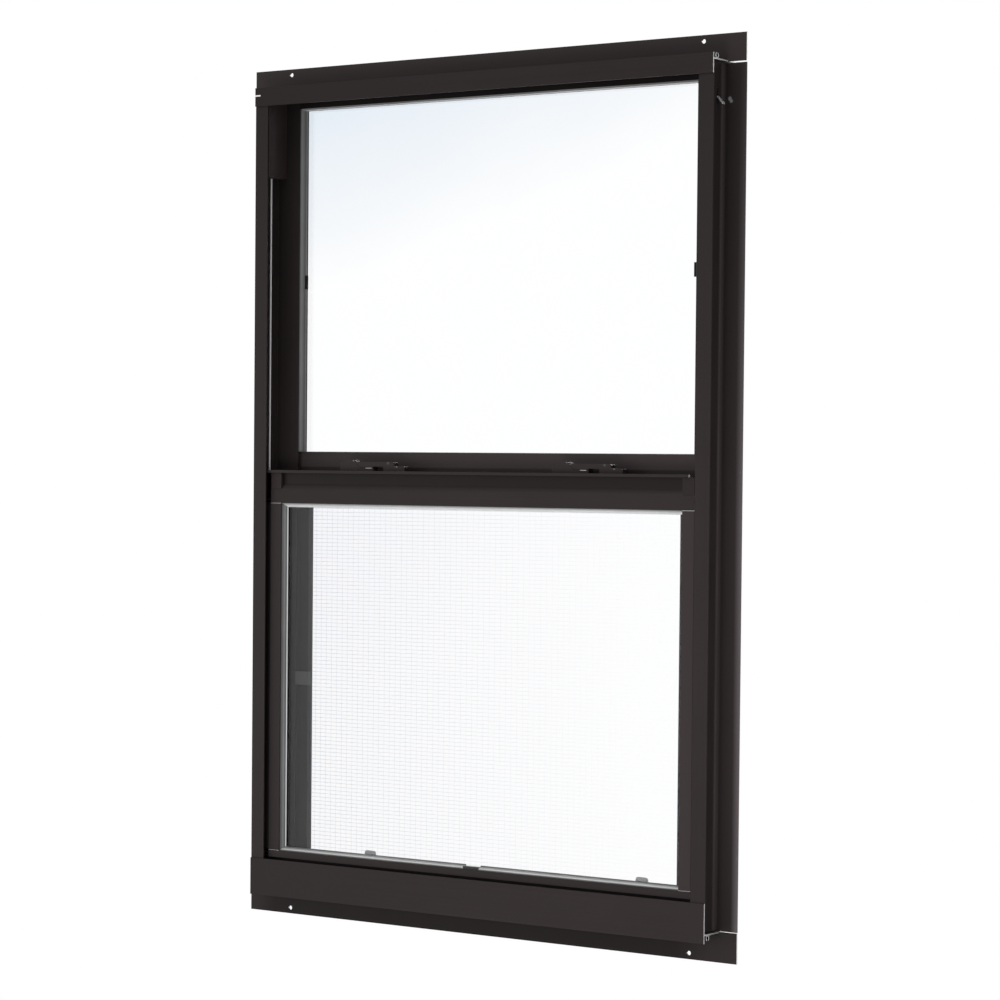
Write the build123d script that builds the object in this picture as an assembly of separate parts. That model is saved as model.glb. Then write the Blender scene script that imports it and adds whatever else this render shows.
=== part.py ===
from build123d import *
import os

# Single hung window: aluminium frame with nail fin, fixed upper lite, sliding lower sash and insect screen.
# Millimetres. +X right seen from indoors, +Y outdoors, +Z up.
# The origin is on the indoor face of the sill nail fin, mid width, half way up the free strip of the fin.

# Frame body and nail fin
FRAME_W = 603.25
FRAME_H = 908.05
FIN_FREE = 22.225
FIN_T = 1.6
WALL = 1.5
LEG_W = 17.5
HEAD_WEB_IN = 5.2
SILL_WEB_IN = 8.0
JAMB_WEB_IN = 6.0
LEG_REACH = 27.0
EXT_REACH = 18.0
PART_Y = 5.0
EXT_U = 41.3
POCKET_U = 36.0
ROOT_R = 5.0
HEAD_LEG_H = 20.6
HEAD_PART_H = 22.1
HEAD_EXT_H = 24.0
HEAD_POCKET_H = 13.0
SILL_LEG_H = 41.3
SILL_PART_H = 20.0
SILL_EXT_H = 12.0
BOSS_R = 3.2
BOSS_BORE_R = 1.9
BOSS_SLOT = 2.0
BOSS_Y_IN = 6.0
BOSS_SINK = 0.6

# Nail holes and lanced anchor tabs
HOLE_R = 2.4
HEAD_HOLE_IN = 51.5
SILL_HOLE_IN = 57.7
HOLE_EDGE = 6.4
TAB_DROP = 27.3
TAB_W = 4.5
TAB_H = 7.5
TAB_OUT = 7.5
TAB_FALL = 8.0
TAB_Y = -10.0

# Clearances
FIT = 0.3
HEAD_SEAM = 1.6
SILL_SEAM = 0.8
SASH_SIDE_GAP = 1.5
SASH_FLOOR_GAP = 2.0

# Glass and vinyl glazing beads
GLASS_T = 3.0
FIX_SIDE_BEAD_W = 5.5
FIX_SIDE_BEAD_NOSE = 1.2
FIX_BEAD_W = 2.0
FIX_BEAD_NOSE = 1.6
FIX_BEAD_TUCK = 1.5
SASH_BEAD_W = 4.5
SASH_BEAD_NOSE = 0.4
SASH_LOW_BEAD_W = 4.6
SASH_LOW_BEAD_NOSE = 0.8
EDGE_GAP = 0.5

# Fixed meeting rail, heights from the bottom of the frame body
FIX_RAIL_BOTTOM = 467.8
FIX_RAIL_H = 32.6
FIX_SHELF_DROP = 10.0
FIX_RAIL_FRONT = 0.3
FIX_LEDGE_H = 8.0
FIX_FACE_Y = 10.0

# Lower sash
SASH_BACK = 0.7
SASH_T = 21.0
SASH_WALL = 1.4
SASH_FACE_U = 21.0
SASH_EDGE_SET = 5.5
STILE_U = 35.7
LIP_H = 3.0
BACK_LEG_H = 5.0
SASH_GLASS_SET = 8.0
SASH_RAIL_TOP = 476.6
SASH_TOP_RAIL_H = 33.8
FOOT_SET = 9.0
FOOT_CLEAR = 2.2
FOOT_FACE_H = 7.7
BAND_H = 18.6
BAND_SET = 3.7
BAND_RAMP = 6.5
PULL_LIP_H = 3.2
PULL_LIP_OUT = 1.8
PULL_LIP_LAP = 1.5
PULL_LIP_RIGHT_IN = 8.8
GUIDE_T = 3.5

# Sash latches
LATCH_IN = 158.8
LATCH_L = 89.0
LATCH_D = 9.0
LATCH_BACK_IN = 4.5
LATCH_BASE_L = 46.0
LATCH_BASE_H = 6.6
LATCH_BLOCK_L = 20.0
LATCH_BLOCK_H = 15.0
LATCH_BLOCK_EDGE = 11.5
LATCH_RAMP = 5.0
LATCH_SLOPE = 7.0
LEVER_H = 13.2
LEVER_GAP_L = 14.0
LEVER_GAP_H = 8.0
LEVER_HEAD_L = 14.5
LEVER_TAIL_H = 8.6
LEVER_EDGE = 1.0

# Insect screen
SCREEN_Y = 6.0
SCREEN_T = 8.0
SCREEN_WALL = 0.8
SCREEN_RAIL_W = 15.875
SCREEN_SIDE_GAP = 1.2
MESH_T = 0.3
SCREEN_CLIP_Z = 244.9
SCREEN_CLIP_H = 14.7
SCREEN_CLIP_T = 1.5
PULL_TAB_LEFT_IN = 142.6
PULL_TAB_RIGHT_IN = 100.1
PULL_TAB_W = 15.0
PULL_TAB_H = 31.0
PULL_TAB_T = 1.4
PULL_TAB_R = 3.0

# Glazing clips, balance cords and track stops
CLIP_H = 15.0
CLIP_T = 2.2
FIXED_CLIP_IN = 1.8
FIXED_CLIP_DROP = 216.5
SASH_CLIP_W = 20.0
SASH_CLIP_H = 3.0
STOP_H = 93.8
STOP_U = 19.05
CORD_R = 1.0
CORD_U = 13.1
CORD_Y = -15.0

HALF = FRAME_W / 2
Z_BODY = FIN_FREE / 2
Z_TOP = Z_BODY + FRAME_H
Z_FLOOR = Z_BODY + SILL_WEB_IN + WALL
Z_CEIL = Z_TOP - HEAD_WEB_IN - WALL
Y_LEG = -LEG_REACH
Y_LAP = Y_LEG - WALL
Y_EXT = EXT_REACH - WALL
FIX_GLASS_Y = Y_EXT - FIT - GLASS_T
WEB_U = JAMB_WEB_IN + WALL
PART_U = POCKET_U + WALL
Z_FIX = Z_BODY + FIX_RAIL_BOTTOM
Z_FIX_TOP = Z_FIX + FIX_RAIL_H
SASH_U = WEB_U + SASH_SIDE_GAP
SASH_Y0 = -SASH_BACK - SASH_T
SASH_Y1 = -SASH_BACK
SASH_GLASS_Y = SASH_Y0 + SASH_GLASS_SET
Z_SASH = Z_FLOOR + SASH_FLOOR_GAP
Z_FOOT = Z_BODY + SILL_LEG_H + FOOT_CLEAR
SASH_BOTTOM_RAIL_H = Z_FOOT + FOOT_FACE_H - Z_SASH
Z_SASH_LOW = Z_SASH + SASH_BOTTOM_RAIL_H
Z_SASH_TOP = Z_BODY + SASH_RAIL_TOP
Z_SASH_HIGH = Z_SASH_TOP - SASH_TOP_RAIL_H
Z_BAND = Z_SASH_TOP - BAND_H
Y_BAND = SASH_Y0 + BAND_SET


def slab(x0, x1, y0, y1, z0, z1):
    return Pos((x0 + x1) / 2, (y0 + y1) / 2, (z0 + z1) / 2) * Box(x1 - x0, y1 - y0, z1 - z0)


def upright(points, z0, z1):
    corners = [(x, y, z0) for x, y in points]
    return extrude(make_face(Polyline(*corners, close=True)), amount=z1 - z0, dir=(0, 0, 1))


def level(points, x0, x1):
    corners = [(x0, y, z) for y, z in points]
    return extrude(make_face(Polyline(*corners, close=True)), amount=x1 - x0, dir=(1, 0, 0))


def across(points, y0, y1):
    corners = [(x, y0, z) for x, z in points]
    return extrude(make_face(Polyline(*corners, close=True)), amount=y1 - y0, dir=(0, 1, 0))


def joined(pieces):
    whole = pieces[0]
    for piece in pieces[1:]:
        whole = whole + piece
    return whole


def bar(u0, u1, y0, y1, z0, z1):
    return slab(-HALF + u0, -HALF + u1, y0, y1, z0, z1)


def run(u, y0, y1, z0, z1):
    return slab(-HALF + u, HALF - u, y0, y1, z0, z1)


def flipped(shape):
    return mirror(shape, about=Plane.YZ)


def save(shape, node):
    shape.label = node
    export_step(shape, "parts/" + node + ".step")


def save_pair(shape, name):
    save(shape, "left_" + name)
    save(flipped(shape), "right_" + name)


# Left jamb, cut a little short of the sill floor and the head web, with the anchor tab lanced out of its web.
def jamb():
    low = Z_FLOOR + SILL_SEAM
    high = Z_CEIL - HEAD_SEAM
    walls = [
        bar(0, LEG_W, Y_LEG, Y_LEG + WALL, low, high),
        bar(JAMB_WEB_IN, WEB_U, Y_LEG, EXT_REACH, low, high),
        bar(-FIN_FREE, WEB_U, 0, FIN_T, low, high),
        bar(JAMB_WEB_IN, PART_U, PART_Y, PART_Y + FIN_T, low, high),
        bar(JAMB_WEB_IN, EXT_U, Y_EXT, EXT_REACH, low, high),
        bar(POCKET_U, PART_U, PART_Y, EXT_REACH, low, high),
    ]
    web_x = -HALF + JAMB_WEB_IN
    corner = bar(JAMB_WEB_IN - ROOT_R, JAMB_WEB_IN, -ROOT_R, 0, low, high)
    walls.append(corner - Pos(web_x - ROOT_R, -ROOT_R, (low + high) / 2) * Cylinder(ROOT_R, high - low))
    body = joined(walls)
    top = Z_CEIL - TAB_DROP
    body = body - slab(web_x, web_x + WALL, TAB_Y - TAB_W / 2, TAB_Y + TAB_W / 2, top - TAB_H, top)
    foot = top - TAB_H
    tip = foot - TAB_FALL
    tab = [(web_x + WALL, foot), (web_x, foot), (web_x - TAB_OUT, tip)]
    tab += [(web_x - TAB_OUT, tip - WALL), (web_x, foot - WALL), (web_x + WALL, foot - WALL)]
    return body + across(tab, TAB_Y - TAB_W / 2, TAB_Y + TAB_W / 2)


# Open round groove that takes a corner screw, run along the web of the head and the sill.
def screw_boss(z_web, up):
    z = z_web + up * (BOSS_R - BOSS_SINK)
    y = Y_LEG + BOSS_Y_IN
    along = Plane(origin=(-HALF, y, z), x_dir=(0, 1, 0), z_dir=(1, 0, 0))
    ring = Circle(BOSS_R) - Circle(BOSS_BORE_R)
    tube = extrude(along * ring, amount=FRAME_W)
    slot = run(0, y - BOSS_SLOT / 2, y + BOSS_SLOT / 2, min(z, z + up * BOSS_R), max(z, z + up * BOSS_R))
    return tube - slot


def nail_holes(fin_in, z):
    x = HALF + FIN_FREE - fin_in
    drill = Rot(90, 0, 0) * Cylinder(HOLE_R, FIN_T * 4)
    return [Pos(-x, 0, z) * drill, Pos(x, 0, z) * drill]


# Head: front leg lapped over the jambs, web, nail fin, parting leg and glazing leg coped between the jambs.
def head():
    z_fin = Z_TOP + FIN_FREE
    body = joined([
        run(0, Y_LAP, Y_LEG, Z_TOP - HEAD_LEG_H, Z_TOP),
        run(0, Y_LAP, EXT_REACH, Z_CEIL, Z_CEIL + WALL),
        run(-FIN_FREE, 0, FIN_T, Z_CEIL, z_fin),
        run(PART_U + FIT, PART_Y, PART_Y + FIN_T, Z_TOP - HEAD_PART_H, Z_CEIL + WALL),
        run(EXT_U + FIT, Y_EXT, EXT_REACH, Z_TOP - HEAD_EXT_H, Z_CEIL + WALL),
        run(EXT_U + FIT, 0, EXT_REACH, Z_TOP - HEAD_POCKET_H - WALL, Z_TOP - HEAD_POCKET_H),
        screw_boss(Z_CEIL + WALL, 1),
    ])
    for hole in nail_holes(HEAD_HOLE_IN, z_fin - HOLE_EDGE):
        body = body - hole
    return body


# Sill: tall front leg lapped over the jambs, floor, nail fin, and two upstands for the screen.
def sill():
    z_fin = Z_BODY - FIN_FREE
    body = joined([
        run(0, Y_LAP, Y_LEG, Z_BODY, Z_BODY + SILL_LEG_H),
        run(0, Y_LAP, EXT_REACH, Z_FLOOR - WALL, Z_FLOOR),
        run(-FIN_FREE, 0, FIN_T, z_fin, Z_FLOOR),
        run(PART_U + FIT, 0, FIN_T, Z_FLOOR - WALL, Z_FLOOR + SILL_PART_H),
        run(EXT_U + FIT, Y_EXT, EXT_REACH, Z_FLOOR - WALL, Z_FLOOR + SILL_EXT_H),
        screw_boss(Z_FLOOR - WALL, -1),
    ])
    for hole in nail_holes(SILL_HOLE_IN, z_fin + HOLE_EDGE):
        body = body - hole
    return body


# Fixed meeting rail under the upper lite: face set back, seated against the pocket walls, ledge forward below.
def fixed_rail():
    z_shelf = Z_FIX_TOP - FIX_SHELF_DROP
    y_back = EXT_REACH - WALL - FIT
    return joined([
        run(PART_U, FIX_FACE_Y, FIX_FACE_Y + WALL, Z_FIX, Z_FIX_TOP),
        run(PART_U, FIX_FACE_Y, y_back, Z_FIX, Z_FIX + WALL),
        run(PART_U, FIX_FACE_Y, y_back, z_shelf - WALL, z_shelf),
        run(PART_U + FIT, FIX_RAIL_FRONT, FIX_FACE_Y + WALL, Z_FIX, Z_FIX + WALL),
        run(PART_U + FIT, FIX_RAIL_FRONT, FIX_RAIL_FRONT + WALL, Z_FIX, Z_FIX + FIX_LEDGE_H),
        run(EXT_U + FIT, Y_EXT, EXT_REACH, Z_FIX, Z_FIX_TOP),
        run(EXT_U + FIT, Y_EXT - WALL, EXT_REACH, Z_FIX, Z_FIX + WALL),
        run(EXT_U + FIT, Y_EXT - WALL, EXT_REACH, z_shelf - WALL, z_shelf),
    ])


# Vinyl beads around a pane: each runs from the back of its lip to the glass.
def bead_upright(u_seat, u_lip, size, y_lip, y_glass, z0, z1):
    width, nose = size
    points = [(u_seat, y_lip), (u_lip + nose, y_lip), (u_lip + width, y_glass), (u_seat, y_glass)]
    return upright([(-HALF + u, y) for u, y in points], z0, z1)


def bead_level(z_seat, z_lip, size, y_lip, y_glass, up, u):
    width, nose = size
    points = [(y_lip, z_seat), (y_lip, z_lip + up * nose), (y_glass, z_lip + up * width), (y_glass, z_seat)]
    return level(points, -HALF + u, HALF - u)


# Outer front strip of the sash, set back on both sides behind the jamb legs.
def edge_room(z0, z1):
    strip = bar(SASH_U, SASH_FACE_U, SASH_Y0, SASH_Y0 + SASH_EDGE_SET, z0, z1)
    return strip + flipped(strip)


# Sash stile: hollow stepped side, front lip and back leg that hold the pane, cut square between the rails.
def stile():
    tube_u = STILE_U - LIP_H
    edge_y = SASH_Y0 + SASH_EDGE_SET
    back_y = SASH_GLASS_Y + GLASS_T + FIT
    z0 = Z_SASH_LOW
    z1 = Z_SASH_HIGH
    inner_u = tube_u - SASH_WALL
    inner_y = SASH_Y1 - SASH_WALL
    hollow = bar(SASH_FACE_U + SASH_WALL, inner_u, SASH_Y0 + SASH_WALL, inner_y, z0, z1)
    hollow = hollow + bar(SASH_U + SASH_WALL, inner_u, edge_y + SASH_WALL, inner_y, z0, z1)
    tube = bar(SASH_U, tube_u, SASH_Y0, SASH_Y1, z0, z1) - edge_room(z0, z1) - hollow
    lip = bar(inner_u, STILE_U, SASH_Y0, SASH_Y0 + SASH_WALL, z0, z1)
    leg = bar(inner_u, tube_u + BACK_LEG_H, back_y, back_y + SASH_WALL, z0, z1)
    return joined([tube, lip, leg])


# Sash rail with its glazing pocket on one side: up is 1 for the bottom rail and -1 for the top rail.
def rail(z_out, z_lip, up):
    z_tube = z_lip - up * LIP_H
    low, high = min(z_out, z_tube), max(z_out, z_tube)
    back_y = SASH_GLASS_Y + GLASS_T + FIT
    leg_z = z_tube + up * BACK_LEG_H
    root_z = z_tube - up * SASH_WALL
    leg_u = STILE_U - LIP_H + BACK_LEG_H + FIT
    hollow = run(SASH_U, SASH_Y0 + SASH_WALL, SASH_Y1 - SASH_WALL, low + SASH_WALL, high - SASH_WALL)
    tube = run(SASH_U, SASH_Y0, SASH_Y1, low, high) - hollow
    lip = run(SASH_U, SASH_Y0, SASH_Y0 + SASH_WALL, min(root_z, z_lip), max(root_z, z_lip))
    leg = run(leg_u, back_y, back_y + SASH_WALL, min(root_z, leg_z), max(root_z, leg_z))
    return joined([tube, lip, leg])


# Top rail of the sash: upper front band set back under the pull lip, with a ramp out to the flat lower band.
def top_rail():
    y_back = Y_BAND + SASH_WALL
    z_ramp = Z_BAND + BAND_RAMP
    body = rail(Z_SASH_TOP, Z_SASH_HIGH, -1) - run(SASH_U, SASH_Y0, Y_BAND, Z_BAND, Z_SASH_TOP)
    wall = run(SASH_U, Y_BAND, y_back, Z_BAND, Z_SASH_TOP)
    points = [(SASH_Y0, Z_BAND - SASH_WALL), (SASH_Y0, Z_BAND), (Y_BAND, z_ramp), (y_back, z_ramp)]
    points.append((y_back, Z_BAND - SASH_WALL))
    ramp = level(points, -HALF + SASH_U, HALF - SASH_U)
    body = joined([body, wall, ramp]) - edge_room(Z_SASH_HIGH, Z_SASH_TOP)
    lip_y = SASH_Y0 - PULL_LIP_OUT
    x0 = -HALF + LEG_W - PULL_LIP_LAP
    x1 = HALF - LEG_W - PULL_LIP_RIGHT_IN
    return body + slab(x0, x1, lip_y, y_back, Z_SASH_TOP, Z_SASH_TOP + PULL_LIP_H)


# Bottom rail of the sash: its foot is set back behind the sill leg.
def bottom_rail():
    y_foot = SASH_Y0 + FOOT_SET
    body = rail(Z_SASH, Z_SASH_LOW, 1) - run(SASH_U, SASH_Y0, y_foot, Z_SASH, Z_FOOT)
    wall = run(SASH_U, y_foot, y_foot + SASH_WALL, Z_SASH, Z_FOOT + SASH_WALL)
    step = run(SASH_U, SASH_Y0, y_foot + SASH_WALL, Z_FOOT, Z_FOOT + SASH_WALL)
    return joined([body, wall, step]) - edge_room(Z_SASH, Z_SASH_LOW)


# Sliding end guide set in the recessed band at each end of the top rail, its foot sloped to the ramp.
def guide():
    y0 = Y_BAND - GUIDE_T
    z_front = Z_BAND + BAND_RAMP * (y0 - SASH_Y0) / BAND_SET + FIT
    z_back = Z_BAND + BAND_RAMP + FIT
    z_top = Z_SASH_TOP - FIT
    points = [(y0, z_front), (y0, z_top), (Y_BAND, z_top), (Y_BAND, z_back)]
    return level(points, -HALF + SASH_FACE_U + FIT, -HALF + STILE_U)


# Sash latch: flat base with a sloped block, and a lever that bridges a gap to its raised head and low tail.
def latch_base(x0):
    y1 = SASH_Y1 - LATCH_BACK_IN
    block_end = x0 + LATCH_BLOCK_L
    points = [(x0, 0), (x0, LATCH_BLOCK_EDGE), (x0 + LATCH_RAMP, LATCH_BLOCK_H), (block_end, LATCH_BLOCK_H)]
    points += [(block_end + LATCH_SLOPE, LATCH_BASE_H), (x0 + LATCH_BASE_L, LATCH_BASE_H)]
    points.append((x0 + LATCH_BASE_L, 0))
    return across([(x, Z_SASH_TOP + z) for x, z in points], y1 - LATCH_D, y1)


def latch_lever(x0):
    y1 = SASH_Y1 - LATCH_BACK_IN
    seat = LATCH_BASE_H + FIT
    slope_x = x0 + LATCH_BLOCK_L + LATCH_SLOPE + FIT
    lean = LATCH_SLOPE / (LATCH_BLOCK_H - LATCH_BASE_H)
    gap_x = x0 + LATCH_BASE_L
    head_x = gap_x + LEVER_GAP_L
    tail_x = head_x + LEVER_HEAD_L
    end = x0 + LATCH_L
    points = [(slope_x, seat), (slope_x - lean * (LEVER_H - seat), LEVER_H), (tail_x - LEVER_EDGE, LEVER_H)]
    points += [(tail_x, LEVER_H - LEVER_EDGE), (tail_x, LEVER_TAIL_H), (end - LEVER_EDGE, LEVER_TAIL_H)]
    points += [(end, LEVER_TAIL_H - LEVER_EDGE), (end, FIT), (head_x, FIT), (head_x, LEVER_GAP_H)]
    points += [(gap_x, LEVER_GAP_H), (gap_x, seat)]
    return across([(x, Z_SASH_TOP + z) for x, z in points], y1 - LATCH_D, y1)


# Screen frame: hollow roll-formed rails, the level ones full width and the upright ones between them.
SCREEN_U = PART_U + SCREEN_SIDE_GAP
Z_SCREEN = Z_FLOOR + FIT
Z_SCREEN_TOP = Z_FIX - FIT
SCREEN_Y1 = SCREEN_Y + SCREEN_T
SCREEN_INNER_U = SCREEN_U + SCREEN_RAIL_W


def screen_level(z0):
    z1 = z0 + SCREEN_RAIL_W
    core = run(SCREEN_U, SCREEN_Y + SCREEN_WALL, SCREEN_Y1 - SCREEN_WALL, z0 + SCREEN_WALL, z1 - SCREEN_WALL)
    return run(SCREEN_U, SCREEN_Y, SCREEN_Y1, z0, z1) - core


def screen_upright():
    z0 = Z_SCREEN + SCREEN_RAIL_W
    z1 = Z_SCREEN_TOP - SCREEN_RAIL_W
    u0 = SCREEN_U + SCREEN_WALL
    u1 = SCREEN_INNER_U - SCREEN_WALL
    core = bar(u0, u1, SCREEN_Y + SCREEN_WALL, SCREEN_Y1 - SCREEN_WALL, z0, z1)
    return bar(SCREEN_U, SCREEN_INNER_U, SCREEN_Y, SCREEN_Y1, z0, z1) - core


# Flexible tab that stands up from the lower screen rail for lifting the screen out.
def pull_tab(x):
    z0 = Z_SCREEN + SCREEN_RAIL_W
    y = SCREEN_Y + SCREEN_T / 2
    side = PULL_TAB_W / 2
    plate = slab(x - side, x + side, y - PULL_TAB_T / 2, y + PULL_TAB_T / 2, z0, z0 + PULL_TAB_H)
    return fillet(plate.edges().filter_by(Axis.Y).group_by(Axis.Z)[-1], PULL_TAB_R)


os.makedirs("parts", exist_ok=True)

save(head(), "frame_head")
save(sill(), "frame_sill")
save_pair(jamb(), "jamb")
save(fixed_rail(), "fixed_meeting_rail")

# Upper lite: pane between the shelf of the meeting rail and the head pocket, with beads on the indoor side.
z_fix_seat = Z_FIX_TOP - FIX_SHELF_DROP + EDGE_GAP
z_head_seat = Z_TOP - HEAD_POCKET_H - WALL - EDGE_GAP
fix_seat_u = PART_U + EDGE_GAP
save(run(fix_seat_u, FIX_GLASS_Y, FIX_GLASS_Y + GLASS_T, z_fix_seat, z_head_seat), "fixed_glass")
fix_clip_u = PART_U + FIX_SIDE_BEAD_W
fix_clip_z = Z_TOP - FIXED_CLIP_DROP
fix_bead_y = FIX_GLASS_Y - FIT
fix_clip = bar(PART_U, fix_clip_u + FIXED_CLIP_IN, fix_bead_y - CLIP_T, fix_bead_y,
               fix_clip_z - CLIP_H / 2, fix_clip_z + CLIP_H / 2)
fix_bead = (FIX_BEAD_W, FIX_BEAD_NOSE)
fix_side = (FIX_SIDE_BEAD_W, FIX_SIDE_BEAD_NOSE)
z_side_top = Z_TOP - HEAD_PART_H - FIT
side = bead_upright(fix_seat_u, PART_U, fix_side, PART_Y + FIT, fix_bead_y, Z_FIX_TOP + FIT, z_side_top)
sides = side + flipped(side)
z_lip = Z_FIX_TOP - FIX_BEAD_TUCK
bottom = bead_level(z_fix_seat, z_lip, fix_bead, FIX_FACE_Y + WALL + FIT, fix_bead_y, 1, fix_seat_u)
y_head = PART_Y + FIN_T + FIT
top = bead_level(z_head_seat, Z_TOP - HEAD_PART_H, fix_bead, y_head, fix_bead_y, -1, fix_seat_u)
save_pair(side - fix_clip, "fixed_bead")
save(bottom - sides, "bottom_fixed_bead")
save(top - sides, "top_fixed_bead")
save_pair(fix_clip, "fixed_clip")

# Lower sash: rails run through, stiles between them, pane and beads.
save(top_rail(), "sash_top_rail")
save(bottom_rail(), "sash_bottom_rail")
save_pair(stile(), "sash_stile")
sash_seat_u = STILE_U - LIP_H + EDGE_GAP
z_pane_low = Z_SASH_LOW - LIP_H + EDGE_GAP
z_pane_high = Z_SASH_HIGH + LIP_H - EDGE_GAP
save(run(sash_seat_u, SASH_GLASS_Y, SASH_GLASS_Y + GLASS_T, z_pane_low, z_pane_high), "sash_glass")
sash_lip_y = SASH_Y0 + SASH_WALL + FIT
sash_front = SASH_GLASS_Y - FIT
clip_x = SASH_CLIP_W / 2
sash_bead = (SASH_BEAD_W, SASH_BEAD_NOSE)
sash_clip = slab(-clip_x, clip_x, sash_lip_y, sash_front, Z_SASH_LOW, Z_SASH_LOW + SASH_CLIP_H)
clip_room = slab(-clip_x, clip_x, sash_lip_y, sash_front, Z_SASH_LOW, Z_SASH_LOW + SASH_LOW_BEAD_W)
side = bead_upright(sash_seat_u, STILE_U, sash_bead, sash_lip_y, sash_front, z_pane_low, z_pane_high)
sides = side + flipped(side)
low_bead = (SASH_LOW_BEAD_W, SASH_LOW_BEAD_NOSE)
bottom = bead_level(z_pane_low, Z_SASH_LOW, low_bead, sash_lip_y, sash_front, 1, sash_seat_u)
top = bead_level(z_pane_high, Z_SASH_HIGH, sash_bead, sash_lip_y, sash_front, -1, sash_seat_u)
save_pair(side, "sash_bead")
save(bottom - sides - clip_room, "bottom_sash_bead")
save(top - sides, "top_sash_bead")
save(sash_clip, "sash_clip")
save_pair(guide(), "sash_guide")

# Two latches of one hand on the top rail.
latch_x = HALF - LATCH_IN
for side, x in (("left", -latch_x), ("right", latch_x)):
    save(latch_base(x - LATCH_L / 2), side + "_latch_base")
    save(latch_lever(x - LATCH_L / 2), side + "_latch_lever")

# Insect screen in the outer channel under the fixed meeting rail.
save(screen_level(Z_SCREEN), "screen_bottom_rail")
save(screen_level(Z_SCREEN_TOP - SCREEN_RAIL_W), "screen_top_rail")
save_pair(screen_upright(), "screen_rail")
mesh_y = SCREEN_Y + SCREEN_T / 2 + PULL_TAB_T / 2
mesh_z0 = Z_SCREEN + SCREEN_RAIL_W
mesh_z1 = Z_SCREEN_TOP - SCREEN_RAIL_W
save(run(SCREEN_INNER_U, mesh_y, mesh_y + MESH_T, mesh_z0, mesh_z1), "screen_mesh")
clip_z0 = Z_BODY + SCREEN_CLIP_Z - SCREEN_CLIP_H / 2
clip_y0 = SCREEN_Y - SCREEN_CLIP_T
clip_u1 = SCREEN_INNER_U + SCREEN_CLIP_T
plate = bar(PART_U + FIT, clip_u1, clip_y0, SCREEN_Y, clip_z0, clip_z0 + SCREEN_CLIP_H)
hook = bar(SCREEN_INNER_U, clip_u1, clip_y0, mesh_y - FIT, clip_z0, clip_z0 + SCREEN_CLIP_H)
save(plate + hook, "screen_clip")
save(pull_tab(PULL_TAB_LEFT_IN - HALF), "left_pull_tab")
save(pull_tab(HALF - PULL_TAB_RIGHT_IN), "right_pull_tab")

# Stop block at the top of each sash track, and the balance cord taut from it to the end of the sash.
stop_z = Z_CEIL - STOP_H
save_pair(bar(WEB_U, STOP_U, Y_LEG + WALL + FIT, PART_Y - FIT, stop_z, Z_CEIL), "track_stop")
cord_top = stop_z - FIT
cord_low = Z_SASH_TOP + FIT
cord = Pos(-HALF + CORD_U, CORD_Y, (cord_top + cord_low) / 2) * Cylinder(CORD_R, cord_top - cord_low)
save_pair(cord, "balance_cord")
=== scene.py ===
import math
import bpy
import bmesh
from mathutils import Matrix, Vector


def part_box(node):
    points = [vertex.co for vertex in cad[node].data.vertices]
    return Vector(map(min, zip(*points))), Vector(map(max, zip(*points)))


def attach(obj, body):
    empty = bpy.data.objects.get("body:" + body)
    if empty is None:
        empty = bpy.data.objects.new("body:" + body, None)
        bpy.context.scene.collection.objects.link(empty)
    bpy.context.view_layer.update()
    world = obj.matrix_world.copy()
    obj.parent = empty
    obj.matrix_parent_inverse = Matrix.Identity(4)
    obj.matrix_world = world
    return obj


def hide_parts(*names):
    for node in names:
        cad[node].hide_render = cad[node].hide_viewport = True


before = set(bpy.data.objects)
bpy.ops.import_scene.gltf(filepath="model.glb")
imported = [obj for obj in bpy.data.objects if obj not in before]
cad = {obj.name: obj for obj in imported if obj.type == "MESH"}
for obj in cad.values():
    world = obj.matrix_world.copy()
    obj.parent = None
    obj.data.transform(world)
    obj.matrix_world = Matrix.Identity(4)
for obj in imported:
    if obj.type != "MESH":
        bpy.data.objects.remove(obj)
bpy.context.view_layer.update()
scene = bpy.context.scene
scene.view_settings.view_transform = "Standard"
X, Y, Z = range(3)

# Camera at the photograph's viewing angle.
PIXELS = 1000
FOCAL = 3176
CENTRE = (502, 564)
EYE = Vector((2.007, -2.782, 0.5009))
YAW = math.radians(35.48)
PITCH = math.radians(1.82)
ROLL = math.radians(0.51)
SENSOR = 36
FAR = 100


def camera():
    turn_c, turn_s = math.cos(YAW), math.sin(YAW)
    tilt_c, tilt_s = math.cos(PITCH), math.sin(PITCH)
    roll_c, roll_s = math.cos(ROLL), math.sin(ROLL)
    turn = Matrix(((turn_c, turn_s, 0), (-turn_s, turn_c, 0), (0, 0, 1)))
    base = Matrix(((1, 0, 0), (0, 0, -1), (0, 1, 0)))
    tilt = Matrix(((1, 0, 0), (0, tilt_c, -tilt_s), (0, tilt_s, tilt_c)))
    roll = Matrix(((roll_c, -roll_s, 0), (roll_s, roll_c, 0), (0, 0, 1)))
    rows = roll @ tilt @ base @ turn
    axes = Matrix((rows[0], -rows[1], -rows[2])).transposed()
    data = bpy.data.cameras.new("camera")
    data.sensor_width = SENSOR
    data.lens = SENSOR * FOCAL / PIXELS
    data.shift_x = (PIXELS / 2 - CENTRE[0]) / PIXELS
    data.shift_y = (CENTRE[1] - PIXELS / 2) / PIXELS
    data.clip_end = FAR
    eye = bpy.data.objects.new("camera", data)
    scene.collection.objects.link(eye)
    eye.matrix_world = Matrix.Translation(EYE) @ axes.to_4x4()
    scene.camera = eye


camera()

# Shader helpers: the middle band of a noise, the turn of a rounded edge, the full core of a spot.
MID = (0.3, 0.7)
EDGE_TURN = (0.985, 0.86)
SPOT_CORE = 0.4
NOISE_ROUGH = 0.55
BEVEL_SAMPLES = 4
RANGE_SOCKETS = ("From Min", "From Max", "To Min", "To Max")


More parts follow.
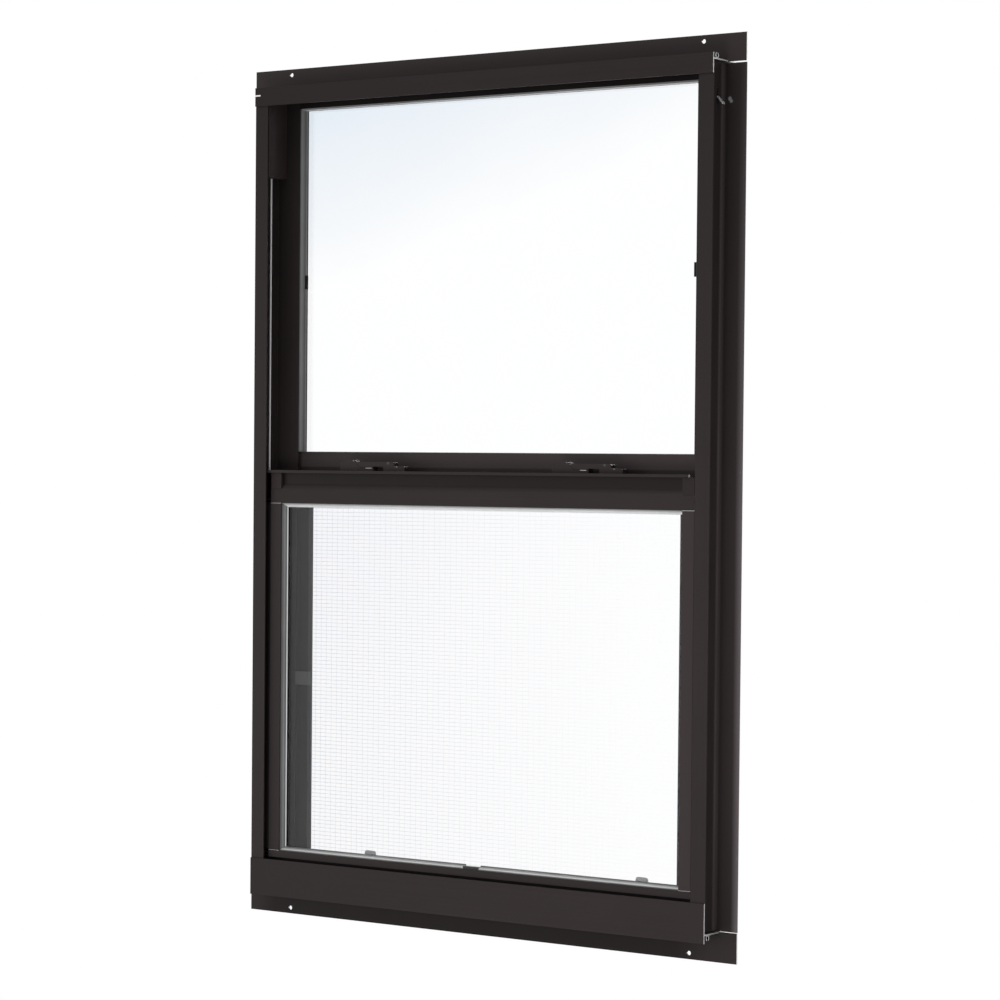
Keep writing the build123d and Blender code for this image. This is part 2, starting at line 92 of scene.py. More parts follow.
class Shader:
    def __init__(self, name):
        self.material = bpy.data.materials.new(name)
        self.material.use_nodes = True
        self.tree = self.material.node_tree
        self.tree.nodes.clear()
        self.surface = self.node("ShaderNodeBsdfPrincipled")
        out = self.node("ShaderNodeOutputMaterial")
        self.link(self.surface.outputs[0], out.inputs[0])
        self.place = self.node("ShaderNodeTexCoord").outputs["Object"]

    def node(self, kind, **values):
        node = self.tree.nodes.new(kind)
        for key, value in values.items():
            setattr(node, key, value)
        return node

    def link(self, a, b):
        self.tree.links.new(a, b)

    def put(self, socket, value):
        if isinstance(value, bpy.types.NodeSocket):
            self.link(value, socket)
        else:
            socket.default_value = value

    def set(self, **values):
        for key, value in values.items():
            self.put(self.surface.inputs[key.replace("_", " ")], value)

    def math(self, kind, a, b=0.0):
        node = self.node("ShaderNodeMath", operation=kind)
        self.put(node.inputs[0], a)
        self.put(node.inputs[1], b)
        return node.outputs[0]

    def along(self, vector, axis):
        parts = self.node("ShaderNodeSeparateXYZ")
        self.link(vector, parts.inputs[0])
        return parts.outputs[axis]

    def stretched(self, scale):
        node = self.node("ShaderNodeMapping")
        self.link(self.place, node.inputs["Vector"])
        node.inputs["Scale"].default_value = scale
        return node.outputs[0]

    def noise(self, scale, detail, vector=None):
        node = self.node("ShaderNodeTexNoise")
        self.link(vector or self.place, node.inputs["Vector"])
        node.inputs["Scale"].default_value = scale
        node.inputs["Detail"].default_value = detail
        node.inputs["Roughness"].default_value = NOISE_ROUGH
        return node.outputs["Fac"]

    def ramp(self, value, low, high, to_low=0.0, to_high=1.0):
        node = self.node("ShaderNodeMapRange")
        self.put(node.inputs["Value"], value)
        for key, number in zip(RANGE_SOCKETS, (low, high, to_low, to_high)):
            node.inputs[key].default_value = number
        return node.outputs["Result"]

    def mix(self, factor, a, b):
        node = self.node("ShaderNodeMix", data_type="RGBA")
        self.put(node.inputs[0], factor)
        self.put(node.inputs[6], a)
        self.put(node.inputs[7], b)
        return node.outputs[2]

    def bump(self, height, strength, distance, normal=None):
        node = self.node("ShaderNodeBump")
        self.put(node.inputs["Height"], height)
        node.inputs["Strength"].default_value = strength
        node.inputs["Distance"].default_value = distance
        if normal:
            self.link(normal, node.inputs["Normal"])
        return node.outputs["Normal"]

    def rounded(self, radius):
        node = self.node("ShaderNodeBevel", samples=BEVEL_SAMPLES)
        node.inputs["Radius"].default_value = radius
        return node.outputs["Normal"]

    def flat_normal(self):
        return self.node("ShaderNodeNewGeometry").outputs["True Normal"]

    def facing(self, axis):
        return self.math("ABSOLUTE", self.along(self.flat_normal(), axis))

    def inside(self, boxes):
        total = 0.0
        for low, high in boxes:
            hit = 1.0
            for axis in (X, Y, Z):
                near = self.node("ShaderNodeMath", operation="COMPARE")
                self.link(self.along(self.place, axis), near.inputs[0])
                near.inputs[1].default_value = (low[axis] + high[axis]) / 2
                near.inputs[2].default_value = abs(high[axis] - low[axis]) / 2
                hit = self.math("MULTIPLY", near.outputs[0], hit)
            total = self.math("MAXIMUM", hit, total)
        return total

    def spots(self, places):
        total = 0.0
        for place, radius, strength in places:
            node = self.node("ShaderNodeVectorMath", operation="DISTANCE")
            self.link(self.place, node.inputs[0])
            node.inputs[1].default_value = place
            spot = self.ramp(node.outputs["Value"], radius, radius * SPOT_CORE, 0.0, strength)
            total = self.math("MAXIMUM", spot, total)
        return total

    def span(self, axis, low, high, to_low=0.0, to_high=1.0):
        return self.ramp(self.along(self.place, axis), low, high, to_low, to_high)

    def steps(self, value, stops):
        node = self.node("ShaderNodeValToRGB")
        self.link(value, node.inputs[0])
        band = node.color_ramp.elements
        while len(band) < len(stops):
            band.new(0.5)
        for element, (place, level) in zip(band, stops):
            element.position = place
            element.color = (level, level, level, 1.0)
        return node.outputs[0]

    def edge(self, round_normal):
        node = self.node("ShaderNodeVectorMath", operation="DOT_PRODUCT")
        self.link(round_normal, node.inputs[0])
        self.link(self.flat_normal(), node.inputs[1])
        return self.ramp(node.outputs["Value"], *EDGE_TURN)


def tint(colour, gain):
    return (colour[0] * gain, colour[1] * gain, colour[2] * gain, 1.0)


# Paint: scales of its streaks, clouds, orange peel, specks and rubbed edges, and how strong each is. The edges
# are lightened partly as wear and partly as a painted highlight.
STREAK_ACROSS = 260.0
STREAK_ALONG = 1.6
CLOUD_SCALE = 9.0
PEEL_SCALE = 900.0
SPECK_SCALE = 420.0
WEAR_AND_HIGHLIGHT_SCALE = 60.0
CLOUD_SHARE = 0.6
STREAK_SHARE = 0.4
PAINT_DARK = 0.86
PAINT_LIGHT = 1.14
SPECK_BAND = (0.68, 0.76)
SPECK_MOST = 0.35
SPECK_GAIN = 1.7
WEAR_AND_HIGHLIGHT_BAND = (0.35, 0.65)
WEAR_AND_HIGHLIGHT_LEAST = 0.25
CUT_TURN = (0.93, 0.96)
GLOSSIER = 0.05
DULLER = 0.07
STREAK_RISE = 0.6
PEEL_RISE = 0.4
PAINT_BUMP = 0.12
BUMP_DEPTH = 0.0002
WARM_SHEEN = (1.0, 0.82, 0.82)
WHITE_SHEEN = (1.0, 1.0, 1.0)


# Baked bronze paint on extruded aluminium, bare where the saw cut it. Its nicks and dots are bare metal or
# painted glints, and its rounded edges are lightened for wear and as a painted highlight.
# A fade runs along an axis from its first place to its second, and a patch fills its boxes; both paint light and
# shade into the colour.
def painted(name, colour, along, edge_round=0.0005, edge_wear_and_highlight=1.9, rough=0.46, cut=True, nicks_and_glint_lines=(), dots=(),
            fades=(), patches=(), spec=0.2, metal=0.72, sheen=WARM_SHEEN):
    s = Shader(name)
    scale = [STREAK_ACROSS] * 3
    scale[along] = STREAK_ALONG
    streak = s.noise(1.0, 2.0, s.stretched(scale))
    cloud = s.noise(CLOUD_SCALE, 4.0)
    peel = s.noise(PEEL_SCALE, 1.0)
    round_normal = s.rounded(edge_round)
    cloudy = s.ramp(cloud, *MID, 0.0, CLOUD_SHARE)
    streaky = s.ramp(streak, *MID, 0.0, STREAK_SHARE)
    paint = s.mix(s.math("ADD", cloudy, streaky), tint(colour, PAINT_DARK), tint(colour, PAINT_LIGHT))
    specks = s.ramp(s.noise(SPECK_SCALE, 2.0), *SPECK_BAND, 0.0, SPECK_MOST)
    paint = s.mix(specks, paint, tint(colour, SPECK_GAIN))
    uneven = s.ramp(s.noise(WEAR_AND_HIGHLIGHT_SCALE, 3.0), *WEAR_AND_HIGHLIGHT_BAND, WEAR_AND_HIGHLIGHT_LEAST, 1.0)
    paint = s.mix(s.math("MULTIPLY", s.edge(round_normal), uneven), paint, tint(colour, edge_wear_and_highlight))
    for axis, start, end, shade in fades:
        paint = s.mix(s.span(axis, start, end), paint, shade)
    for boxes, shade in patches:
        paint = s.mix(s.inside(boxes), paint, shade)
    bare_and_glint = s.math("MAXIMUM", s.inside(nicks_and_glint_lines), s.spots(dots))
    if cut:
        bare_and_glint = s.math("MAXIMUM", s.ramp(s.facing(along), *CUT_TURN), bare_and_glint)
    s.set(Base_Color=s.mix(bare_and_glint, paint, (metal, metal, metal, 1.0)), Metallic=bare_and_glint)
    s.set(Roughness=s.ramp(cloud, *MID, rough - GLOSSIER, rough + DULLER))
    height = s.math("ADD", s.math("MULTIPLY", streak, STREAK_RISE), s.math("MULTIPLY", peel, PEEL_RISE))
    s.set(Normal=s.bump(height, PAINT_BUMP, BUMP_DEPTH, round_normal))
    s.set(Specular_IOR_Level=spec, Specular_Tint=(*sheen, 1.0))
    return s.material


# Plastics: scales of the clouds and the grain, and how far the colour and the gloss stray.
SOFT_CLOUD = 14.0
SOFT_GRAIN = 600.0
SOFT_EDGE = 0.0003
SOFT_BUMP = 0.1
SOFT_DARK = 0.88
SOFT_LIGHT = 1.1
SOFT_WORN = 1.35
SOFT_GLOSS = 0.05
PLASTIC_ROUGH = 0.5


# Plain moulded plastic.
def plastic(name, colour, spec):
    s = Shader(name)
    cloud = s.noise(SOFT_CLOUD, 4.0)
    fine = s.noise(SOFT_GRAIN, 2.0)
    round_normal = s.rounded(SOFT_EDGE)
    base = s.mix(s.ramp(cloud, *MID), tint(colour, SOFT_DARK), tint(colour, SOFT_LIGHT))
    s.set(Base_Color=s.mix(s.edge(round_normal), base, tint(colour, SOFT_WORN)))
    s.set(Roughness=s.ramp(fine, *MID, PLASTIC_ROUGH - SOFT_GLOSS, PLASTIC_ROUGH + SOFT_GLOSS))
    s.set(Normal=s.bump(fine, SOFT_BUMP, BUMP_DEPTH, round_normal), Specular_IOR_Level=spec)
    return s.material


VINYL_DARK = 0.3
VINYL_CLOUD = 0.12
VINYL_ROUGH = (0.4, 0.5)
VINYL_SPEC = 0.3


# Co-extruded glazing vinyl with painted stripes of light and shade that follow its slope from the lip to the
# glass.
def vinyl(name, colour, bead, stops, top=2.0):
    s = Shader(name)
    low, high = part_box(bead)
    stripe_shade = s.steps(s.span(Y, low[Y], high[Y]), stops)
    fine = s.noise(SOFT_GRAIN, 2.0)
    cloud = s.ramp(s.noise(SOFT_CLOUD, 4.0), *MID, -VINYL_CLOUD / top, VINYL_CLOUD / top)
    level = s.math("ADD", stripe_shade, cloud)
    s.set(Base_Color=s.mix(level, tint(colour, VINYL_DARK), tint(colour, top)))
    s.set(Roughness=s.ramp(fine, *MID, *VINYL_ROUGH), Specular_IOR_Level=VINYL_SPEC)
    s.set(Normal=s.bump(fine, SOFT_BUMP, BUMP_DEPTH, s.rounded(SOFT_EDGE)))
    return s.material


WIRE_GRAIN = 2500.0
WIRE_ROUGH = (0.3, 0.45)
WIRE_BUMP = 0.1
WIRE_DEPTH = 0.0001
WIRE_INDEX = 1.08
WIRE_SPAN = (-0.24, 0.2)


# Coated glass-fibre strands, with painted shade that makes them greyer towards the left side.
def coated_wire(name, left, right):
    s = Shader(name)
    fine = s.noise(WIRE_GRAIN, 2.0)
    s.set(Base_Color=s.mix(s.span(X, *WIRE_SPAN), left, right))
    s.set(Roughness=s.ramp(fine, *MID, *WIRE_ROUGH), Normal=s.bump(fine, WIRE_BUMP, WIRE_DEPTH))
    s.set(Transmission_Weight=1.0, IOR=WIRE_INDEX)
    return s.material


GLASS_CLOUD = 5.0
GLASS_STRAY = 0.06
GLASS_ACROSS = 0.75
GLASS_CLEAR = (0.992, 0.996, 0.998, 1.0)


# Clear float glass with a painted faint blue reflection that fades out downwards and to the right.
def clear_glass(name, corner, reach, reflection_tint, index):
    s = Shader(name)
    across = s.span(X, corner[0], corner[0] + reach[0], 0.0, GLASS_ACROSS)
    down = s.span(Z, corner[1], corner[1] - reach[1])
    cloud = s.ramp(s.noise(GLASS_CLOUD, 3.0), *MID, -GLASS_STRAY, GLASS_STRAY)
    reflection_fade = s.ramp(s.math("ADD", s.math("ADD", across, down), cloud), 0.0, 1.0)
    s.set(Base_Color=s.mix(reflection_fade, reflection_tint, GLASS_CLEAR))
    s.set(Roughness=0.0, Transmission_Weight=1.0, IOR=index)
    return s.material


BRAID_STRETCH = (1.0, 1.0, 0.7)
BRAID_SCALE = 420.0
BRAID_TWIST = 1.5
BRAID_DARK = (0.5, 0.5, 0.49, 1.0)
BRAID_LIGHT = (0.82, 0.82, 0.81, 1.0)
BRAID_ROUGH = 0.8
BRAID_BUMP = 0.5
BRAID_DEPTH = 0.0004


# Braided white cord.
def braid(name):
    s = Shader(name)
    wave = s.node("ShaderNodeTexWave", bands_direction="DIAGONAL")
    s.link(s.stretched(BRAID_STRETCH), wave.inputs["Vector"])
    wave.inputs["Scale"].default_value = BRAID_SCALE
    wave.inputs["Distortion"].default_value = BRAID_TWIST
    weave = wave.outputs["Fac"]
    s.set(Base_Color=s.mix(weave, BRAID_DARK, BRAID_LIGHT))
    s.set(Roughness=BRAID_ROUGH, Normal=s.bump(weave, BRAID_BUMP, BRAID_DEPTH))
    return s.material


# Boxes and spots of bare metal, painted glints or painted shade, in metres, measured from the pieces that carry
# them.
SKIN = 0.001
BARE_DEEP = 0.0007
LINE_X = (0.0355, 0.0435)
LINE_Z = (0.0061, 0.0068)
LINE_DEEP = 0.004
LATCH_GLINTS = (
    (0.0185, 0.015, 0.0018, 0.3),
    (0.0245, 0.0125, 0.0016, 0.04),
    (0.0665, 0.012, 0.0022, 0.12),
    (0.0785, 0.0085, 0.0019, 0.3),
)
STILE_REACH = 0.32
STILE_CUT = 0.0004
HEAD_NICK_DROP = 0.031
HEAD_NICK_L = 0.0298
HEAD_NICK_HALF = 0.0008
TAB_DROP = 0.0638
TAB_X = (0.0277, 0.0199)
TAB_Y = (-0.0123, -0.0077)
TAB_BELOW = 0.0105
TAB_ABOVE = 0.0004
FIN_SPOTS = ((0.0195, 0.003, 0.0028, 0.3), (0.0178, 0.0055, 0.0024, 0.3))
HEAD_LEG_T = 0.0016
HEAD_CHANNEL_H = 0.0156
CLIP_SHADE_UP = 0.0022
CLIP_SHADE_DOWN = 0.003


def mark(x0, x1, y0, y1, z0, z1):
    return ((x0, y0, z0), (x1, y1, z1))


# Painted glint line along each latch base, and painted glint spots on the corners of the latch.
def latch_glint_line(side):
    x, y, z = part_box(side + "_latch_base")[0]
    return mark(x + LINE_X[0], x + LINE_X[1], y - SKIN, y + LINE_DEEP, z + LINE_Z[0], z + LINE_Z[1])


def latch_glints(side):
    x, y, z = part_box(side + "_latch_base")[0]
    return [((x + right, y, z + up), radius, strength) for right, up, radius, strength in LATCH_GLINTS]


# Bare front edge at both ends of the sash stiles.
def stile_marks():
    low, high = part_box("left_sash_stile")
    front = low[Y]
    ends = ((high[Z] - STILE_CUT, high[Z] + SKIN), (low[Z] - SKIN, low[Z] + STILE_CUT))
    return [mark(-STILE_REACH, STILE_REACH, front - SKIN, front + BARE_DEEP, z0, z1) for z0, z1 in ends]


# Bare nick at the left end of the head's front leg.
def head_marks():
    low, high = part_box("frame_head")
    z = high[Z] - HEAD_NICK_DROP
    x, y = low[X], low[Y]
    return [mark(x, x + HEAD_NICK_L, y - SKIN, y + BARE_DEEP, z - HEAD_NICK_HALF, z + HEAD_NICK_HALF)]


# Lanced anchor tabs, and a rubbed spot beside the right one.
def tab_corner():
    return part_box("right_jamb")[1][X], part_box("frame_head")[1][Z] - TAB_DROP


def tab_marks():
    x, z = tab_corner()
    x0, x1 = x - TAB_X[0], x - TAB_X[1]
    heights = (z - TAB_BELOW, z + TAB_ABOVE)
    return [mark(x0, x1, *TAB_Y, *heights), mark(-x1, -x0, *TAB_Y, *heights)]


def fin_rub():
    x, z = tab_corner()
    return [((x - left, 0.0, z - down), radius, strength) for left, down, radius, strength in FIN_SPOTS]


# Channel of the head behind its front leg, which is painted dark as shade.
def head_channel_shade():
    low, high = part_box("frame_head")
    return [mark(low[X], high[X], low[Y] + HEAD_LEG_T, high[Y], low[Z], low[Z] + HEAD_CHANNEL_H)]


# Shade on the screen rail above and below its clip.
def clip_shade():
    rail_low, rail_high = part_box("left_screen_rail")
    low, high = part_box("screen_clip")
    ends = ((high[Z], high[Z] + CLIP_SHADE_UP), (low[Z] - CLIP_SHADE_DOWN, low[Z]))
    x0, x1 = rail_low[X], rail_high[X]
    return [mark(x0, x1, rail_low[Y] - SKIN, rail_high[Y], z0, z1) for z0, z1 in ends]


# Colours, and the places that the fades of painted light and shade are measured from.
BRONZE = (0.024, 0.019, 0.019)
SCREEN_BRONZE = (0.013, 0.0112, 0.012)
LATCH_BRONZE = (0.026, 0.0206, 0.0206)
PALE_EDGE = (0.145, 0.127, 0.132, 1.0)
PULL_LIP_H = 0.0032
LIP_END_IN = 0.0085
SASH_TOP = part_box("sash_top_rail")[1][Z] - PULL_LIP_H
LIP_END = (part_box("sash_glass")[1][X] + LIP_END_IN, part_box("sash_top_rail")[0][Y], SASH_TOP + PULL_LIP_H / 2)
LIP_GLINT = (LIP_END, 0.003, 0.8)
FIN_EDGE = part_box("right_jamb")[1][X]
FIN_PALE = 0.0078
SILL_FOOT = 0.0111
HAIR = 0.0001
RAIL_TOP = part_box("fixed_meeting_rail")[1][Z]
WEB_FADE = (-0.012, -0.002)
JAMB_FADE = (0.45, 0.95)
SCREEN_EDGE = 0.0012


def bronze(gain):
    return tint(BRONZE, gain)


# The head is painted darker towards its left end and lighter on the web and fin behind its front leg, as painted
# light and shade.
HEAD = painted("bronze_head", BRONZE, X, nicks_and_glint_lines=head_marks(), spec=0.13,
               fades=[(X, 0.1, -0.3, bronze(0.8)), (Y, *WEB_FADE, bronze(1.5))],
               patches=[(head_channel_shade(), bronze(0.25))])
# The sill is painted darker towards its left end as painted shade, and its fin under the front leg carries a
# painted shadow that stops short of both ends.
SILL = painted("bronze_sill", BRONZE, X,
               fades=[(X, -0.05, -0.32, bronze(0.8)), (Z, SILL_FOOT + HAIR, SILL_FOOT, bronze(0.25)),
                      (X, 0.25, 0.29, bronze(1.0)), (X, -0.29, -0.315, bronze(0.8))])
# The left jamb is painted darker towards the top as painted shade.
JAMB = painted("bronze_jamb", BRONZE, Z, nicks_and_glint_lines=tab_marks(), fades=[(Z, *JAMB_FADE, bronze(0.3))])
# The right jamb is painted lighter on the web and fin behind its front leg, a little darker at the bottom and
# darker towards the top, with a painted highlight along the fin's outer edge.
RIGHT_JAMB = painted("bronze_right_jamb", BRONZE, Z, nicks_and_glint_lines=tab_marks(), dots=fin_rub(),
                     fades=[(Y, *WEB_FADE, bronze(1.35)), (Z, 0.14, -0.01, bronze(0.85)),
                            (X, FIN_EDGE - FIN_PALE, FIN_EDGE, PALE_EDGE), (Z, *JAMB_FADE, bronze(0.6))])
# The fixed rail is painted lighter towards the right and towards the bottom of its face as painted light, with a
# painted shadow along its lower edge.
FIXED_RAIL = painted("bronze_fixed_rail", BRONZE, X, spec=0.25,
                     fades=[(X, -0.5, 0.27, bronze(1.8)),
                            (Z, RAIL_TOP - 0.002, RAIL_TOP - 0.015, bronze(2.1)),
                            (Z, RAIL_TOP - 0.0155, RAIL_TOP - 0.0175, bronze(0.5))])
FRAME_X = painted("bronze_level", BRONZE, X)
# The sash top rail is painted darker towards its left end and in the band under its pull lip as painted shade,
# and the spot at the right end of the lip is a painted glint.
SASH_RAIL = painted("bronze_sash_rail", BRONZE, X, dots=[LIP_GLINT],
                    fades=[(X, 0.0, -0.28, bronze(0.75)),
                           (Z, SASH_TOP - 0.0186, SASH_TOP - 0.0115, bronze(0.25)),
                           (Z, SASH_TOP - HAIR, SASH_TOP, bronze(1.0))])
STILE = painted("bronze_stile", BRONZE, Z, nicks_and_glint_lines=stile_marks(), metal=0.5)
# The right stile is a lighter copy of the stile paint, as painted light.
RIGHT_STILE = painted("bronze_right_stile", BRONZE, Z, nicks_and_glint_lines=stile_marks(), metal=0.5, spec=0.24,
                      fades=[(X, 0.2, 0.21, bronze(1.5))])
SCREEN_X = painted("screen_bronze_level", SCREEN_BRONZE, X, edge_round=SCREEN_EDGE, sheen=WHITE_SHEEN)
SCREEN_Z = painted("screen_bronze_upright", SCREEN_BRONZE, Z, edge_round=SCREEN_EDGE, sheen=WHITE_SHEEN,
                   patches=[(clip_shade(), tint(SCREEN_BRONZE, 0.2))])
# The latch edges are lightened for wear and as painted highlights, and its bare-metal line and spots are painted
# glints.
LATCH = painted("latch_casting", LATCH_BRONZE, X, edge_round=0.0006, edge_wear_and_highlight=2.4, rough=0.42,
                cut=False, nicks_and_glint_lines=[latch_glint_line("left"), latch_glint_line("right")],
                dots=latch_glints("left") + latch_glints("right"), metal=0.5)

# Painted stripes of light and shade on the vinyl, palest where a highlight is painted: share of the way from the
# lip to the glass, and how pale it is there.
FIXED_STRIPES = ((0.0, 0.08), (0.12, 0.55), (0.26, 0.65), (0.5, 0.42), (0.72, 0.12), (0.9, 0.6))
SASH_STRIPES = ((0.0, 0.03), (0.3, 0.09), (0.45, 0.17), (0.65, 0.08), (0.82, 0.07), (0.9, 1.0))
LEVEL_STRIPES = ((0.0, 0.2), (0.3, 0.6), (0.6, 1.0))
CLIP_STRIPES = ((0.0, 0.05), (0.25, 0.05), (0.4, 1.0), (1.0, 1.0))
SILL_STRIPES = ((0.0, 0.1), (0.2, 1.0), (0.4, 0.5), (0.6, 0.3), (0.8, 0.0), (1.0, 0.0))
LEVEL_TOP = 2.2
SASH_SIDE_TOP = 5.6
# The glazing beads are copies of one vinyl painted at different brightness for where they stand, as painted
# light and shade.
VINYL = vinyl("fixed_vinyl", (0.11, 0.109, 0.108), "left_fixed_bead", FIXED_STRIPES)
LEVEL_VINYL = vinyl("fixed_vinyl_level", (0.36, 0.357, 0.354), "top_fixed_bead", LEVEL_STRIPES, LEVEL_TOP)
PALE_VINYL = vinyl("sash_vinyl", (0.17, 0.17, 0.168), "left_sash_bead", SASH_STRIPES, SASH_SIDE_TOP)
TOP_VINYL = vinyl("sash_vinyl_top", (0.42, 0.42, 0.416), "top_sash_bead", LEVEL_STRIPES, LEVEL_TOP)
FOOT_VINYL = vinyl("sash_vinyl_foot", (0.38, 0.38, 0.376), "bottom_sash_bead", SILL_STRIPES)
CLIP_VINYL = vinyl("clip_vinyl", (0.085, 0.084, 0.08), "sash_clip", CLIP_STRIPES)
BLACK = plastic("black_plastic", (0.008, 0.0075, 0.0075), spec=0.1)
BROWN = plastic("brown_plastic", (0.022, 0.0148, 0.0145), spec=0.18)
GREY = plastic("grey_plastic", (0.066, 0.065, 0.066), spec=0.2)
PALE_GREY = plastic("pale_grey_plastic", (0.55, 0.55, 0.56), spec=0.2)
CORD = braid("white_cord")
UPPER_GLASS = clear_glass("upper_glass", corner=(-0.262, 0.897), reach=(0.52, 0.21),
                          reflection_tint=(0.76, 0.83, 0.905, 1.0), index=1.5)
LOWER_GLASS = clear_glass("lower_glass", corner=(-0.262, 0.45), reach=(0.3, 0.3),
                          reflection_tint=(0.962, 0.967, 0.99, 1.0), index=1.34)
WIRE = coated_wire("screen_wire", (0.6, 0.61, 0.72, 1.0), (0.985, 0.985, 0.99, 1.0))
DARK_WIRE = coated_wire("screen_wire_grey", (0.1, 0.1, 0.2, 1.0), (0.97, 0.97, 0.985, 1.0))

FINISH = {
    "frame_head": HEAD, "frame_sill": SILL, "left_jamb": JAMB, "right_jamb": RIGHT_JAMB,
    "fixed_meeting_rail": FIXED_RAIL, "fixed_glass": UPPER_GLASS,
    "left_fixed_bead": VINYL, "right_fixed_bead": VINYL, "bottom_fixed_bead": VINYL,
    "top_fixed_bead": LEVEL_VINYL, "left_fixed_clip": BLACK, "right_fixed_clip": BLACK,
    "sash_top_rail": SASH_RAIL, "sash_bottom_rail": FRAME_X, "sash_glass": LOWER_GLASS,
    "left_sash_stile": STILE, "right_sash_stile": RIGHT_STILE,
    "left_sash_bead": PALE_VINYL, "right_sash_bead": PALE_VINYL, "bottom_sash_bead": FOOT_VINYL,
    "top_sash_bead": TOP_VINYL, "sash_clip": CLIP_VINYL,
    "left_sash_guide": BROWN, "right_sash_guide": BROWN,
    "left_latch_base": LATCH, "right_latch_base": LATCH,
    "left_latch_lever": LATCH, "right_latch_lever": LATCH,
    "screen_top_rail": SCREEN_X, "screen_bottom_rail": SCREEN_X,
    "left_screen_rail": SCREEN_Z, "right_screen_rail": SCREEN_Z, "screen_mesh": WIRE,
    "screen_clip": GREY, "left_pull_tab": PALE_GREY, "right_pull_tab": PALE_GREY,
    "left_track_stop": BROWN, "right_track_stop": BROWN,
    "left_balance_cord": CORD, "right_balance_cord": CORD,
}
for name, node in cad.items():
    node.data.materials.clear()
    node.data.materials.append(FINISH[name])

# Insect screen: straight strands both ways, with every fifth upright and every third level one heavier.
PITCH_X = 0.0015
PITCH_Z = 0.00143
THIN = 0.00004
HEAVY_UPRIGHT = 0.000095
HEAVY_LEVEL = 0.00012
UPRIGHT_BEAT = 5
LEVEL_BEAT = 3
WIRE_SIDES = 4


def add_wire(mesh, a, b, radius, finish):
    side = Vector((0, 1, 0))
    other = (b - a).normalized().cross(side)
    rings = []
    for end in (a, b):
        ring = []
        for i in range(WIRE_SIDES):
            turn = 2 * math.pi * i / WIRE_SIDES
            ring.append(mesh.verts.new(end + radius * (math.cos(turn) * side + math.sin(turn) * other)))
        rings.append(ring)
    for i in range(WIRE_SIDES):
        j = (i + 1) % WIRE_SIDES
        mesh.faces.new((rings[0][i], rings[0][j], rings[1][j], rings[1][i])).material_index = finish
    for ring in rings:
        mesh.faces.new(ring).material_index = finish


def piece(name, mesh, finishes, stands_for):
    bmesh.ops.recalc_face_normals(mesh, faces=mesh.faces)
    data = bpy.data.meshes.new(name)
    mesh.to_mesh(data)
    mesh.free()
    for finish in finishes:
        data.materials.append(finish)
    obj = bpy.data.objects.new(name, data)
    scene.collection.objects.link(obj)
    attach(obj, "root")
    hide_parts(stands_for)


def insect_screen():
    low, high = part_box("screen_mesh")
    mesh = bmesh.new()
    y = (low[Y] + high[Y]) / 2
    count = round((high[X] - low[X]) / PITCH_X)
    for i in range(1, count):
        x = low[X] + (high[X] - low[X]) * i / count
        heavy = i % UPRIGHT_BEAT == 0
        a = Vector((x, y - THIN / 2, low[Z]))
        add_wire(mesh, a, Vector((x, a.y, high[Z])), HEAVY_UPRIGHT if heavy else THIN, int(heavy))
    count = round((high[Z] - low[Z]) / PITCH_Z)
    for i in range(1, count):
        z = low[Z] + (high[Z] - low[Z]) * i / count
        heavy = i % LEVEL_BEAT == 0
        a = Vector((low[X], y + THIN / 2, z))
        add_wire(mesh, a, Vector((high[X], a.y, z)), HEAVY_LEVEL if heavy else THIN, int(heavy))
    piece("screen_weave", mesh, (WIRE, DARK_WIRE), "screen_mesh")


insect_screen()

# Stage: floor below the hung window, studio lamps and a white surround.
FLOOR_R = 2.0
FLOOR_SIDES = 96
FLOOR_Z = -0.6
FLOOR_COLOUR = (0.86, 0.86, 0.86, 1.0)
FLOOR_ROUGH = 0.9
GLOW = (0.96, 0.98, 1.0, 1.0)
GLOW_STRENGTH = 0.42
WHITE = (1.0, 1.0, 1.0, 1.0)


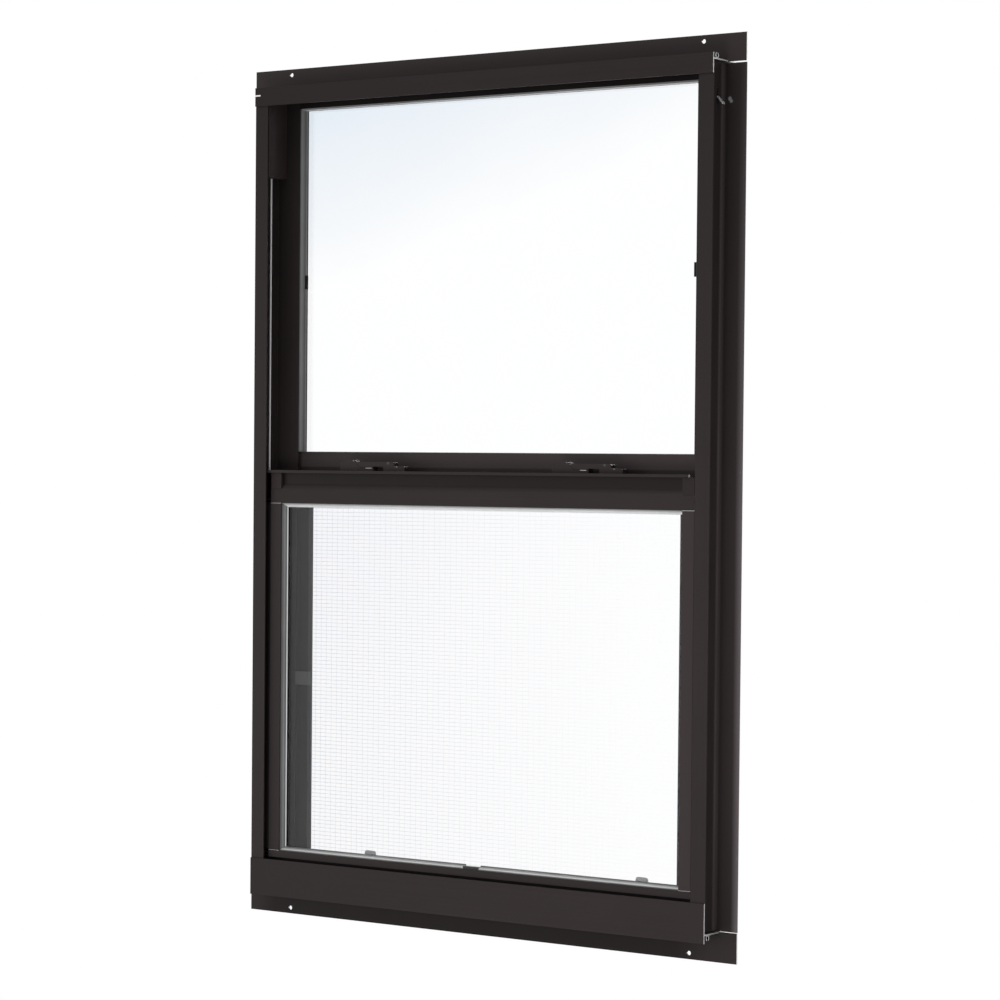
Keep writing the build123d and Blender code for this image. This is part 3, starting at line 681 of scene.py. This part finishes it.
def stage():
    mesh = bmesh.new()
    bmesh.ops.create_circle(mesh, cap_ends=True, radius=FLOOR_R, segments=FLOOR_SIDES)
    data = bpy.data.meshes.new("floor")
    mesh.to_mesh(data)
    mesh.free()
    s = Shader("pale_floor")
    s.set(Base_Color=FLOOR_COLOUR, Roughness=FLOOR_ROUGH)
    data.materials.append(s.material)
    floor = bpy.data.objects.new("floor", data)
    scene.collection.objects.link(floor)
    floor.location = (0, 0, FLOOR_Z)


def lamp(name, place, aim, size, power):
    data = bpy.data.lights.new(name, "AREA")
    data.shape = "DISK"
    data.size = size
    data.energy = power
    light = bpy.data.objects.new(name, data)
    scene.collection.objects.link(light)
    light.location = place
    light.rotation_euler = (Vector(aim) - Vector(place)).to_track_quat("-Z", "Y").to_euler()


def background(tree, colour, strength):
    node = tree.nodes.new("ShaderNodeBackground")
    node.inputs["Color"].default_value = colour
    node.inputs["Strength"].default_value = strength
    return node.outputs[0]


# Soft glow for the light on the object, plain white wherever the surround is seen.
def surround():
    world = bpy.data.worlds.new("studio")
    scene.world = world
    world.use_nodes = True
    tree = world.node_tree
    tree.nodes.clear()
    out = tree.nodes.new("ShaderNodeOutputWorld")
    path = tree.nodes.new("ShaderNodeLightPath")
    seen = path.outputs["Is Camera Ray"]
    for key in ("Is Glossy Ray", "Is Transmission Ray"):
        most = tree.nodes.new("ShaderNodeMath")
        most.operation = "MAXIMUM"
        tree.links.new(seen, most.inputs[0])
        tree.links.new(path.outputs[key], most.inputs[1])
        seen = most.outputs[0]
    pick = tree.nodes.new("ShaderNodeMixShader")
    tree.links.new(seen, pick.inputs[0])
    tree.links.new(background(tree, GLOW, GLOW_STRENGTH), pick.inputs[1])
    tree.links.new(background(tree, WHITE, 1.0), pick.inputs[2])
    tree.links.new(pick.outputs[0], out.inputs[0])


stage()
lamp("top", place=(-0.3, -1.9, 4.4), aim=(0, 0, 0.45), size=2.2, power=45)
lamp("left", place=(-4.2, -2.0, 0.0), aim=(0, 0, 0.3), size=1.8, power=16)
lamp("low", place=(0.35, -2.3, -0.45), aim=(0.05, 0, 0.2), size=0.9, power=14)
lamp("right", place=(4.0, -0.6, 0.3), aim=(0, 0, 0.45), size=1.6, power=26)
lamp("back", place=(0.5, 3.0, 2.4), aim=(0, 0, 0.45), size=2.0, power=50)
surround()
